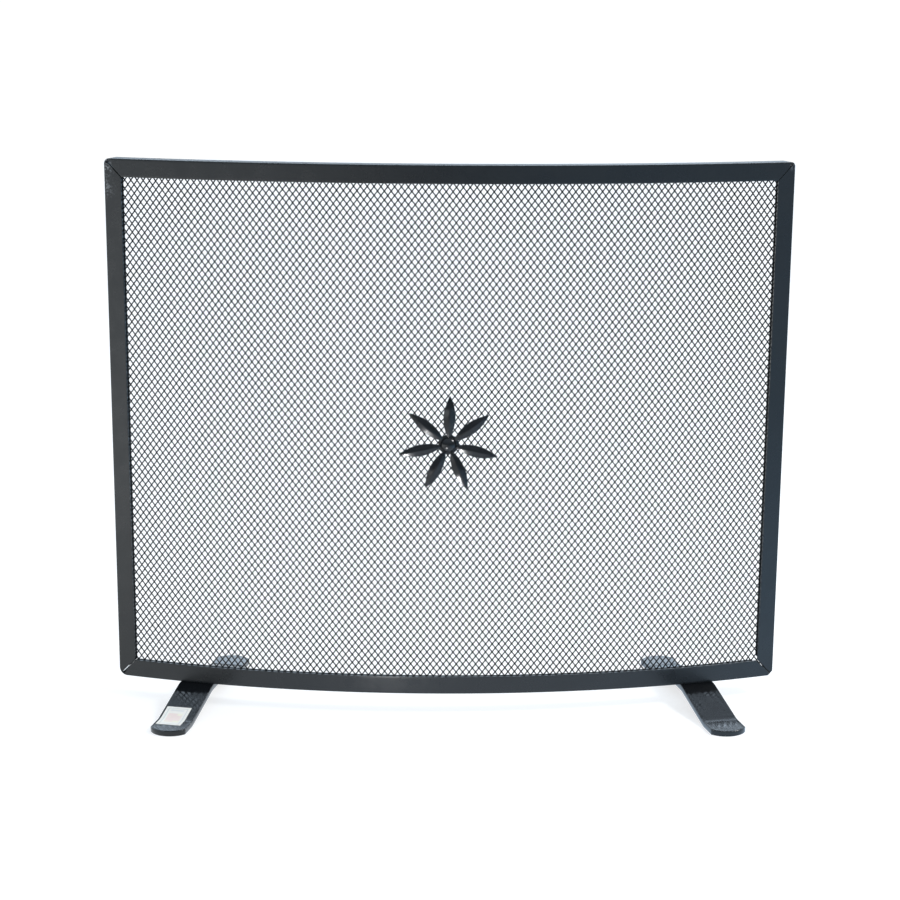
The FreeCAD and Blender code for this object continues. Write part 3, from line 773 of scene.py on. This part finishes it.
def weld_beads(material):
    """Four rippled beads inside the mitred corners, where the outer legs meet."""
    rows, columns = 46, 10
    points, quads, offset = [], [], 0
    for side in (-1, 1):
        for level in (-1, 1):
            corner = place(0.0, side * END_ANGLE, TOP if level > 0 else BOTTOM)
            along_rail = np.array([math.cos(END_ANGLE), side * math.sin(END_ANGLE), 0.0]) * -side
            along_stile = np.array([0.0, 0.0, -float(level)])
            back = np.array([-math.sin(side * END_ANGLE), math.cos(END_ANGLE), 0.0])
            u = np.linspace(0, 1, rows)
            ripple = 1 + 0.07 * np.sin(u * 2 * math.pi * 9) + rng.normal(0, 0.015, rows)
            ripple *= np.sqrt(np.clip(1 - (2 * u - 1) ** 8, 0.05, 1))
            bow = np.linspace(0, math.pi / 2, columns)
            a = WELD_SIZE * (1 - WELD_HOLLOW * np.sin(bow))
            b = WELD_SIZE * (1 - WELD_HOLLOW * np.cos(bow))
            a[0], b[-1] = WELD_SIZE, WELD_SIZE
            a[-1], b[0] = 0.0, 0.0
            depth = WELD_START + u * WELD_LENGTH
            start = corner + (along_rail + along_stile) * WALL
            surface = (start + (a[None, :, None] * along_rail + b[None, :, None] * along_stile)
                       * ripple[:, None, None] + depth[:, None, None] * back)
            spine = start + depth[:, None] * back
            block = np.concatenate([surface, spine[:, None, :]], axis=1)
            points.append(block.reshape(-1, 3))
            quads.append(grid_quads(rows, columns + 1, wrap_columns=True) + offset)
            offset += rows * (columns + 1)
    stride = columns + 1
    caps = []
    for bead in range(4):
        start = bead * rows * stride
        caps.append(list(range(start, start + stride))[::-1])
        caps.append(list(range(start + (rows - 1) * stride, start + rows * stride)))
    obj = make_mesh("corner_weld_beads", np.concatenate(points), np.concatenate(quads), polygons=caps)
    add_value(obj, "edge", np.zeros(offset))
    sharpen(obj, 50)
    return finish_piece(obj, material, "frame_paint", "corner_welds")


FILLER_START, FILLER_LENGTH = 5.5 * MM, 11.0 * MM  # distances from the outer side
FILLER_RADIUS, FILLER_RIPPLE = 0.85 * MM, 0.12 * MM
FILLER_SIDEWAYS, FILLER_DEPTH = 0.45 * MM, 0.9 * MM


def seam_filler(material):
    """A bare weld line in the outer half of the lower left mitre, a little below the faces."""
    steps, sides = 40, 10
    t = np.linspace(0.0, 1.0, steps)
    out = FILLER_START + FILLER_LENGTH * t
    tapered = np.sqrt(np.clip(1 - (2 * t - 1) ** 6, 0.1, 1))
    radius = (FILLER_RADIUS + FILLER_RIPPLE * np.sin(t * 23.0)) * tapered
    corner = place(0.0, -END_ANGLE, BOTTOM)
    along_rail = np.array([math.cos(END_ANGLE), -math.sin(END_ANGLE), 0.0])
    back = np.array([math.sin(END_ANGLE), math.cos(END_ANGLE), 0.0])
    up = np.array([0.0, 0.0, 1.0])
    seam, to_stile = (along_rail + up) / math.sqrt(2), (up - along_rail) / math.sqrt(2)
    centre = corner + out[:, None] * math.sqrt(2) * seam + FILLER_SIDEWAYS * to_stile + FILLER_DEPTH * back
    turn = np.arange(sides) * 2 * math.pi / sides
    ring = np.cos(turn)[None, :, None] * to_stile + np.sin(turn)[None, :, None] * back
    points = centre[:, None, :] + ring * radius[:, None, None]
    caps = [list(range(sides)), list(range((steps - 1) * sides, steps * sides))[::-1]]
    obj = make_mesh("seam_weld_line", points, grid_quads(steps, sides, wrap_columns=True), polygons=caps)
    flip_if_inside_out(obj)
    return finish_piece(obj, material, "fastener_steel")


# ---------------------------------------------------------------- materials
DARK = (0.0068, 0.0078, 0.0088)
# places on the frame painted as rubbed steel: (point, reach in metres, amount). The two at the top left are
# worn paint; the last, on top of the right end, is a painted highlight.
worn_and_highlight_places = [
    (tuple(place(0.0, -END_ANGLE, TOP - 0.012)), 0.02, 1.0),
    (tuple(place(0.0, -END_ANGLE, TOP - 0.04)), 0.022, 0.55),
    # painted highlight: the light strip along the top edge at the right end
    (tuple(place(0.0, END_ANGLE, TOP - 0.004)), 0.012, 0.8),
]
frame_paint = paint("frame_paint", DARK, (0.0095, 0.0105, 0.0115), 0.3, spots=worn_and_highlight_places)
mesh_paint = paint("mesh_paint", (0.003, 0.0033, 0.0036), (0.005, 0.005, 0.0052), 0.45, grain=0.4,
                   specular=0.15)
strip_paint = paint("strip_paint", DARK, (0.009, 0.0095, 0.01), 0.42)
foot_paint = paint("foot_paint", (0.0016, 0.002, 0.0026), (0.0028, 0.0032, 0.004), 0.13, grain=0.4)
flower_paint = paint("flower_paint", (0.0035, 0.0038, 0.0045), (0.006, 0.0064, 0.0072), 0.13, grain=0.35)
zinc = steel("zinc", (0.42, 0.42, 0.43), 0.35)
bare_steel = steel("bare_steel", (0.95, 0.95, 0.94), 0.3, 0.2)


def label_print():
    """White paper with a thin grey border and a few pale tinted panels, and no lettering."""
    t = Tree("label_print")
    along, across = t.attribute("label_along"), t.attribute("label_across")

    def band(value, low, high):
        """1 between two values, with crisp sides."""
        return t.math("MULTIPLY", t.ramp(value, low, low + 0.02), t.ramp(value, high - 0.02, high, 1.0, 0.0))

    def panel(along_from, along_to, across_from, across_to):
        return t.math("MULTIPLY", band(along, along_from, along_to), band(across, across_from, across_to))

    colour = t.mix(t.ramp(t.noise(90.0), 0.3, 0.7), (0.9, 0.84, 0.75), (0.93, 0.87, 0.78))
    frame_outer, frame_inner = panel(0.05, 0.95, 0.08, 0.92), panel(0.08, 0.92, 0.13, 0.87)
    line = t.math("SUBTRACT", frame_outer, frame_inner, clamp=True)
    colour = t.mix(t.math("MULTIPLY", line, 0.35), colour, (0.45, 0.46, 0.48))
    patches = t.ramp(t.noise(75.0, 2.0), 0.42, 0.6)
    tint = t.mix(patches, (0.9, 0.66, 0.6), (0.92, 0.85, 0.62))
    colour = t.mix(t.math("MULTIPLY", panel(0.3, 0.8, 0.2, 0.8), 0.6), colour, tint)
    colour = t.mix(t.math("MULTIPLY", panel(0.12, 0.22, 0.22, 0.78), 0.35), colour, (0.62, 0.63, 0.65))
    t.link(colour, t.shader.inputs["Base Color"])
    t.link(t.ramp(t.noise(200.0), 0.3, 0.7, 0.5, 0.62), t.shader.inputs["Roughness"])
    t.bump(t.noise(500.0, 3.0), 0.1, 0.0001)
    return t.material


label_paper = label_print()

for level, place_name in ((1, "top"), (-1, "bottom")):
    member(place_name + "_rail_bar", place_name + "_rail", "rail", level, ANGLE_SECTION, None,
           "frame_paint", frame_paint)
    member(place_name + "_strip_bar", place_name + "_mesh_strip", "rail", level, STRIP_SECTION, "strip",
           "strip_paint", strip_paint)
for side, place_name in ((-1, "left"), (1, "right")):
    member(place_name + "_stile_bar", place_name + "_stile", "stile", side, ANGLE_SECTION, None,
           "frame_paint", frame_paint)
    member(place_name + "_strip_bar", place_name + "_mesh_strip", "stile", side, STRIP_SECTION, "strip",
           "strip_paint", strip_paint)
    foot_bar(place_name + "_foot_bar", place_name + "_foot", side, foot_paint)
wire_mesh(mesh_paint)
weld_beads(frame_paint)
seam_filler(bare_steel)
paper_label(label_paper)
for petal_index in range(PETAL_COUNT):
    leaf("leaf_%d" % (petal_index + 1), "petal_%d" % (petal_index + 1), petal_index, flower_paint)
turned("flower_dome", dome_profile(), flower_paint, "flower_bolt")
turned("flower_disc", hub_profile(), flower_paint, "flower_hub")

# the screws, nuts and bolts keep their CAD meshes
for node_name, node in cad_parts.items():
    if node.hide_render:
        continue
    node.data.materials.clear()
    node.data.materials.append(zinc)
    bevel = node.modifiers.new("softened_edges", "BEVEL")
    bevel.width = 0.25 * MM
    bevel.segments = 2
    bevel.limit_method = "ANGLE"
    bevel.angle_limit = math.radians(40)

# ---------------------------------------------------------------- floor, light and camera
FLOOR_REACH = 9.0
floor_corners = [(x * FLOOR_REACH, y * FLOOR_REACH, 0.0) for x, y in ((-1, -1), (1, -1), (1, 1), (-1, 1))]
floor = make_mesh("floor", floor_corners, [(0, 1, 2, 3)], smooth_faces=False)


def stage_floor():
    """A plain pale floor. For reflections and bounce light it glows instead: painted light that fades
    outwards, brighter and warmer on the left.
    """
    t = Tree("floor_paint_and_glow")
    colour = t.mix(t.noise(3.0), (0.35, 0.35, 0.35), (0.37, 0.37, 0.37))
    t.link(colour, t.shader.inputs["Base Color"])
    t.shader.inputs["Roughness"].default_value = 0.9
    t.shader.inputs["Specular IOR Level"].default_value = 0.05
    t.shader.inputs["Emission Color"].default_value = (1.0, 1.0, 1.0, 1.0)
    t.shader.inputs["Emission Strength"].default_value = 0.72
    x, y, _ = t.split(t.coordinates)
    length = t.nodes.new("ShaderNodeVectorMath")
    length.operation = "LENGTH"
    t.link(t.coordinates, length.inputs[0])
    # painted light: the floor's glow for reflections and bounce, set by place, brighter on the left and
    # behind, bluer on the right
    glow = t.ramp(length.outputs["Value"], 0.5, 2.2, 1.15, 0.5)
    glow = t.math("ADD", glow, t.ramp(x, -1.6, -0.45, 1.25, 0.0))
    glow = t.math("ADD", glow, t.ramp(x, 0.3, 1.3, 0.0, 0.2))
    glow = t.math("MULTIPLY", glow, t.ramp(y, 0.1, 1.5, 1.0, 1.3))
    emission = t.nodes.new("ShaderNodeEmission")
    t.link(glow, emission.inputs["Strength"])
    cool = t.mix(t.ramp(x, 0.0, 0.9), (0.88, 1.0, 1.14), (0.68, 1.0, 1.34))
    t.link(t.mix(t.ramp(x, -0.7, 0.0), (0.95, 1.0, 1.03), cool), emission.inputs["Color"])
    t.link(t.by_ray(t.shader, emission), t.out.inputs[0])
    return t.material


floor.data.materials.append(stage_floor())


def studio_world():
    """White for the camera. For light and reflections, a dim room with a brighter back."""
    world = bpy.data.worlds.new("studio")
    world.use_nodes = True
    t = Nodes(world.node_tree)
    room = t.nodes["Background"]
    x, y, z = t.split(t.nodes.new("ShaderNodeTexCoord").outputs["Generated"])
    behind = t.ramp(y, 0.1, 0.5)
    high_up = t.math("MULTIPLY", t.ramp(z, 0.18, 0.27, 0.12, 2.4), t.ramp(z, 0.46, 0.62, 1.0, 0.62))
    low_down = t.ramp(z, 0.03, 0.07, 0.9, 0.0)
    right_side = t.ramp(x, 0.03, 0.09, 0.0, 0.6)
    back_light = t.math("MAXIMUM", t.math("MAXIMUM", high_up, low_down), right_side)
    ahead_light = t.ramp(z, 0.0, 0.8, 0.3, 0.7)
    ahead_part = t.math("MULTIPLY", ahead_light, t.math("SUBTRACT", 1.0, behind))
    strength = t.math("ADD", t.math("MULTIPLY", back_light, behind), ahead_part)
    t.link(strength, room.inputs["Strength"])
    room.inputs["Color"].default_value = (0.84, 1.0, 1.17, 1.0)
    white = t.nodes.new("ShaderNodeBackground")
    white.inputs["Color"].default_value = (1.0, 1.0, 1.0, 1.0)
    white.inputs["Strength"].default_value = 1.05
    t.link(t.by_ray(white, room), t.nodes["World Output"].inputs[0])
    bpy.context.scene.world = world


studio_world()


def area_light(name, location, target, size, power):
    """A rectangular lamp that faces its target and that the camera doesn't see."""
    data = bpy.data.lights.new(name, "AREA")
    data.shape = "RECTANGLE"
    data.size, data.size_y = size
    data.energy = power
    obj = bpy.data.objects.new(name, data)
    bpy.context.scene.collection.objects.link(obj)
    obj.location = location
    obj.rotation_mode = "QUATERNION"
    obj.rotation_quaternion = (Vector(target) - Vector(location)).to_track_quat("-Z", "Y")
    obj.visible_camera = False
    return obj


area_light("key", (2.7, -0.4, 2.7), (0, 0, 0.1), (1.0, 1.0), 90)
# a small lamp that only shows as the highlight on one lower petal
petal_lamp = area_light("petal_light", (-0.132, -0.353, 0.08), (0.019, -0.067, 0.3457), (0.02, 0.13), 0.9)
petal_lamp.visible_diffuse = False

LENS, SENSOR = 80.76, 36.0
PITCH, YAW, ROLL = 0.22965, 0.01909, 0.00732
CAMERA_PLACE = Vector((-0.05215, -2.81894, 1.0326))
camera_data = bpy.data.cameras.new("camera")
camera_data.lens = LENS
camera_data.sensor_width = SENSOR
camera = bpy.data.objects.new("camera", camera_data)
bpy.context.scene.collection.objects.link(camera)
forward = Vector((math.sin(YAW) * math.cos(PITCH), math.cos(YAW) * math.cos(PITCH), -math.sin(PITCH)))
level_right = Vector((math.cos(YAW), -math.sin(YAW), 0.0))
level_up = level_right.cross(forward)
right = level_right * math.cos(ROLL) + level_up * math.sin(ROLL)
upward = level_up * math.cos(ROLL) - level_right * math.sin(ROLL)
turned_to = Matrix((right, upward, -forward)).transposed().to_4x4()
camera.matrix_world = Matrix.Translation(CAMERA_PLACE) @ turned_to
bpy.context.scene.camera = camera

bpy.context.scene.view_settings.view_transform = "Standard"
